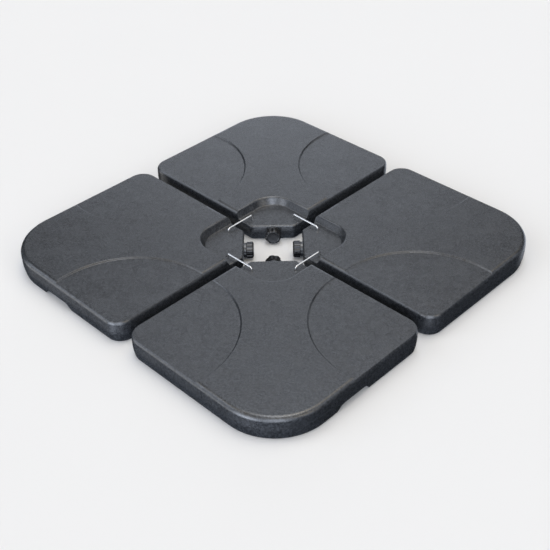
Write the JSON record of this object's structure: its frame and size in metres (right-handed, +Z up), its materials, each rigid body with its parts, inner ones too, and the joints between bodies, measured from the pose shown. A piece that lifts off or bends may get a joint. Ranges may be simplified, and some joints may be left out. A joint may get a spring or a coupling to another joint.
{
  "type": "parasol base",
  "caption": "Fillable plastic ballast slabs around the cross foot of a cantilever parasol, with screw caps in cut-off inner corners and bent wire clips across the arm channels.",
  "frame": {"origin": "centre of the set on the ground", "axes": "+Z up; the arm channels run along X and Y, and -Y is called the front"},
  "size_m": [0.99, 0.99, 0.064],
  "materials": {
    "slab_plastic": "fine leather grain, dark slate grey",
    "cap_plastic": "smooth black",
    "seal_rubber": "soft black",
    "clip_wire": "bright plated wire"
  },
  "bodies": {
    "slabs": {"slab_rear_right": "slab_plastic", "slab_rear_left": "slab_plastic", "slab_front_left": "slab_plastic", "slab_front_right": "slab_plastic"},
    "seal_rear_right": {"seal_rear_right": "seal_rubber"},
    "cap_rear_right": {"cap_rear_right": "cap_plastic"},
    "seal_rear_left": {"seal_rear_left": "seal_rubber"},
    "cap_rear_left": {"cap_rear_left": "cap_plastic"},
    "seal_front_left": {"seal_front_left": "seal_rubber"},
    "cap_front_left": {"cap_front_left": "cap_plastic"},
    "seal_front_right": {"seal_front_right": "seal_rubber"},
    "cap_front_right": {"cap_front_right": "cap_plastic"},
    "clip_right": {"clip_right": "clip_wire"},
    "clip_rear": {"clip_rear": "clip_wire"},
    "clip_left": {"clip_left": "clip_wire"},
    "clip_front": {"clip_front": "clip_wire"}
  },
  "joints": [
    {"name": "cap_travel_rear_right", "type": "slide", "parent": "slabs", "child": "seal_rear_right", "axis": [-0.7071, -0.7071, 0], "range_m": [0, 0.0102]},
    {"name": "cap_turn_rear_right", "type": "hinge", "parent": "seal_rear_right", "child": "cap_rear_right", "pos_m": [0.05303, 0.05303, 0.0235], "axis": [-0.7071, -0.7071, 0], "range_deg": [0, 810]},
    {"name": "cap_travel_rear_left", "type": "slide", "parent": "slabs", "child": "seal_rear_left", "axis": [0.7071, -0.7071, 0], "range_m": [0, 0.0102]},
    {"name": "cap_turn_rear_left", "type": "hinge", "parent": "seal_rear_left", "child": "cap_rear_left", "pos_m": [-0.05303, 0.05303, 0.0235], "axis": [0.7071, -0.7071, 0], "range_deg": [0, 810]},
    {"name": "cap_travel_front_left", "type": "slide", "parent": "slabs", "child": "seal_front_left", "axis": [0.7071, 0.7071, 0], "range_m": [0, 0.0102]},
    {"name": "cap_turn_front_left", "type": "hinge", "parent": "seal_front_left", "child": "cap_front_left", "pos_m": [-0.05303, -0.05303, 0.0235], "axis": [0.7071, 0.7071, 0], "range_deg": [0, 810]},
    {"name": "cap_travel_front_right", "type": "slide", "parent": "slabs", "child": "seal_front_right", "axis": [-0.7071, 0.7071, 0], "range_m": [0, 0.0102]},
    {"name": "cap_turn_front_right", "type": "hinge", "parent": "seal_front_right", "child": "cap_front_right", "pos_m": [0.05303, -0.05303, 0.0235], "axis": [-0.7071, 0.7071, 0], "range_deg": [0, 810]},
    {"name": "clip_lift_right", "type": "slide", "parent": "slabs", "child": "clip_right", "axis": [0, 0, 1], "range_m": [0, 0.03]},
    {"name": "clip_lift_rear", "type": "slide", "parent": "slabs", "child": "clip_rear", "axis": [0, 0, 1], "range_m": [0, 0.03]},
    {"name": "clip_lift_left", "type": "slide", "parent": "slabs", "child": "clip_left", "axis": [0, 0, 1], "range_m": [0, 0.03]},
    {"name": "clip_lift_front", "type": "slide", "parent": "slabs", "child": "clip_front", "axis": [0, 0, 1], "range_m": [0, 0.03]}
  ],
  "couplings": [
    {"joint": "cap_travel_rear_right", "follows": "cap_turn_rear_right", "m_per_rad": 0.0007162},
    {"joint": "cap_travel_rear_left", "follows": "cap_turn_rear_left", "m_per_rad": 0.0007162},
    {"joint": "cap_travel_front_left", "follows": "cap_turn_front_left", "m_per_rad": 0.0007162},
    {"joint": "cap_travel_front_right", "follows": "cap_turn_front_right", "m_per_rad": 0.0007162}
  ]
}
